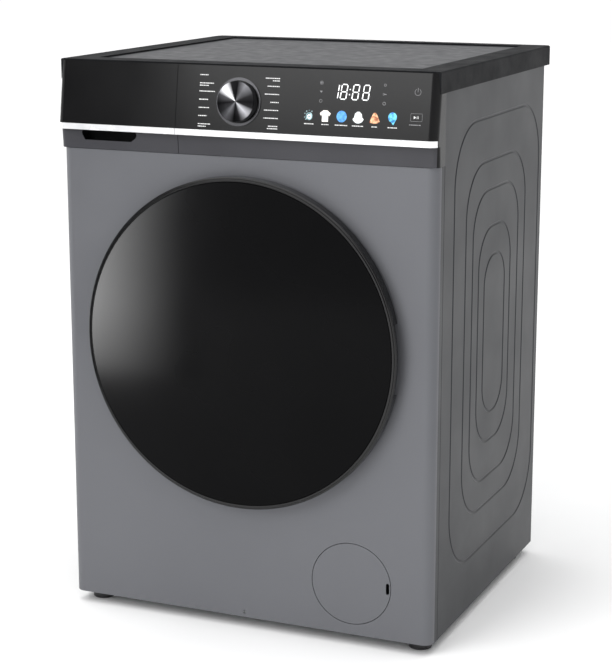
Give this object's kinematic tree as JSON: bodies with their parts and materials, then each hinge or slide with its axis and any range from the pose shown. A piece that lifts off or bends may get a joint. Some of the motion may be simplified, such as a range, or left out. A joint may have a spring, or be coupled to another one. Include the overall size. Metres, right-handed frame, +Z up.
{
  "type": "front load washing machine",
  "caption": "Slim free-standing front load washing machine with round hinged door, detergent drawer, programme knob and suspended drum unit",
  "frame": {"origin": "on the floor, under the middle of the bounding box", "axes": "+X right as seen from the front, +Y to the rear, +Z up; the front panel's face is at y = -0.2525 m"},
  "size_m": [0.596, 0.579, 0.85],
  "materials": {
    "cabinet_grey": "satin metallic powder coat",
    "front_silver": "satin metallic coat",
    "galvanised": "zinc coated sheet",
    "worktop_plastic": "fine grained moulding",
    "worktop_board": "laminated board",
    "gloss_black": "gloss moulding",
    "bright_trim": "chrome plated",
    "dark_chrome": "spun dark chrome",
    "board_green": "circuit board",
    "black_plastic": "moulded",
    "white_plastic": "moulded",
    "grey_plastic": "moulded, filled",
    "tinted_glass": "tinted, tempered",
    "clear_glass": "pressed, clear",
    "grey_rubber": "moulded seal",
    "black_rubber": "moulded rubber",
    "stainless": "bright annealed stainless",
    "steel": "turned or drawn steel",
    "zinc_steel": "zinc plated",
    "cast_aluminium": "die cast",
    "concrete": "cast concrete",
    "motor_black": "stoved enamel"
  },
  "bodies": {
    "cabinet": {"left_side_panel": "cabinet_grey", "right_side_panel": "cabinet_grey", "front_panel": "front_silver", "rear_panel": "galvanised", "rear_cover": "galvanised", "cabinet_screws": "zinc_steel", "transit_bolt_caps": "white_plastic", "base_tray": "galvanised", "top_frame": "galvanised", "worktop_frame": "worktop_plastic", "worktop_board": "worktop_board", "fascia": "gloss_black", "fascia_trim": "bright_trim", "control_board": "board_green", "knob_ring": "bright_trim", "dispenser_housing": "white_plastic", "inlet_valve": "white_plastic", "drain_spout": "black_plastic", "cord_gland": "black_plastic", "drain_pump": "white_plastic", "filter_surround": "black_plastic", "door_hinge_bracket": "cast_aluminium", "door_lock": "black_plastic", "damper_cylinders": "black_plastic", "foot_nuts": "zinc_steel", "suspension_springs": "steel", "door_gasket": "grey_rubber"},
    "door": {"door_frame": "black_plastic", "door_trim": "gloss_black", "door_glass": "tinted_glass", "door_inner_ring": "black_plastic", "door_bowl": "clear_glass", "door_screws": "zinc_steel"},
    "latch": {"latch_hook": "cast_aluminium"},
    "drawer": {"drawer_front": "gloss_black", "drawer_trim": "bright_trim", "drawer_tray": "white_plastic", "siphon_cap": "white_plastic"},
    "knob": {"knob": "dark_chrome"},
    "flap": {"service_flap": "front_silver"},
    "filter": {"pump_filter": "white_plastic"},
    "tub": {"tub_front": "grey_plastic", "tub_rear": "grey_plastic", "counterweights": "concrete", "drum_bearings": "steel", "heater": "stainless", "motor_stator": "motor_black", "damper_rods": "steel", "drive_belt": "black_rubber"},
    "drum": {"drum_shell": "stainless", "drum_back": "stainless", "drum_lifters": "white_plastic", "drum_spider": "cast_aluminium", "drum_shaft": "steel", "drum_pulley": "cast_aluminium"},
    "motor": {"motor_rotor": "steel"},
    "foot_front_left": {"front_left_foot": "black_plastic"},
    "foot_front_right": {"front_right_foot": "black_plastic"},
    "foot_rear_left": {"rear_left_foot": "black_plastic"},
    "foot_rear_right": {"rear_right_foot": "black_plastic"}
  },
  "joints": [
    {"name": "door_hinge", "type": "hinge", "parent": "cabinet", "child": "door", "pos_m": [-0.238, -0.2675, 0.445], "axis": [0, 0, -1], "range_deg": [0, 115]},
    {"name": "latch_pivot", "type": "hinge", "parent": "door", "child": "latch", "pos_m": [0.2, -0.2605, 0.445], "axis": [0, 0, -1], "range_deg": [0, 10], "stiffness_Nm_per_rad": 0.05, "springref_deg": -17.19},
    {"name": "drawer_slide", "type": "slide", "parent": "cabinet", "child": "drawer", "axis": [0, -1, 0], "range_m": [0, 0.18]},
    {"name": "knob_turn", "type": "hinge", "parent": "cabinet", "child": "knob", "pos_m": [-0.002, -0.25815, 0.79829], "axis": [0, -0.9884, 0.1521], "continuous": true},
    {"name": "flap_hinge", "type": "hinge", "parent": "cabinet", "child": "flap", "pos_m": [0.1097, -0.2525, 0.0968], "axis": [0, 0, -1], "range_deg": [0, 100]},
    {"name": "filter_turn", "type": "hinge", "parent": "cabinet", "child": "filter", "pos_m": [0.1719, -0.2125, 0.0968], "axis": [0, 1, 0], "range_deg": [0, 90]},
    {"name": "tub_bounce", "type": "slide", "parent": "cabinet", "child": "tub", "axis": [0, 0, 1], "range_m": [-0.012, 0.012], "stiffness_N_per_m": 8000, "springref_m": 0.04112, "deforming": ["suspension_springs", "door_gasket"]},
    {"name": "drum_turn", "type": "hinge", "parent": "tub", "child": "drum", "pos_m": [0, 0.0875, 0.445], "axis": [0, 1, 0], "continuous": true},
    {"name": "motor_spin", "type": "hinge", "parent": "tub", "child": "motor", "pos_m": [0.06, 0.0875, 0.105], "axis": [0, 1, 0], "continuous": true},
    {"name": "front_left_foot_screw", "type": "slide", "parent": "cabinet", "child": "foot_front_left", "axis": [0, 0, -1], "range_m": [0, 0.012]},
    {"name": "front_right_foot_screw", "type": "slide", "parent": "cabinet", "child": "foot_front_right", "axis": [0, 0, -1], "range_m": [0, 0.012]},
    {"name": "rear_left_foot_screw", "type": "slide", "parent": "cabinet", "child": "foot_rear_left", "axis": [0, 0, -1], "range_m": [0, 0.012]},
    {"name": "rear_right_foot_screw", "type": "slide", "parent": "cabinet", "child": "foot_rear_right", "axis": [0, 0, -1], "range_m": [0, 0.012]}
  ],
  "couplings": [
    {"joint": "motor_spin", "follows": "drum_turn", "ratio": 14.737}
  ]
}
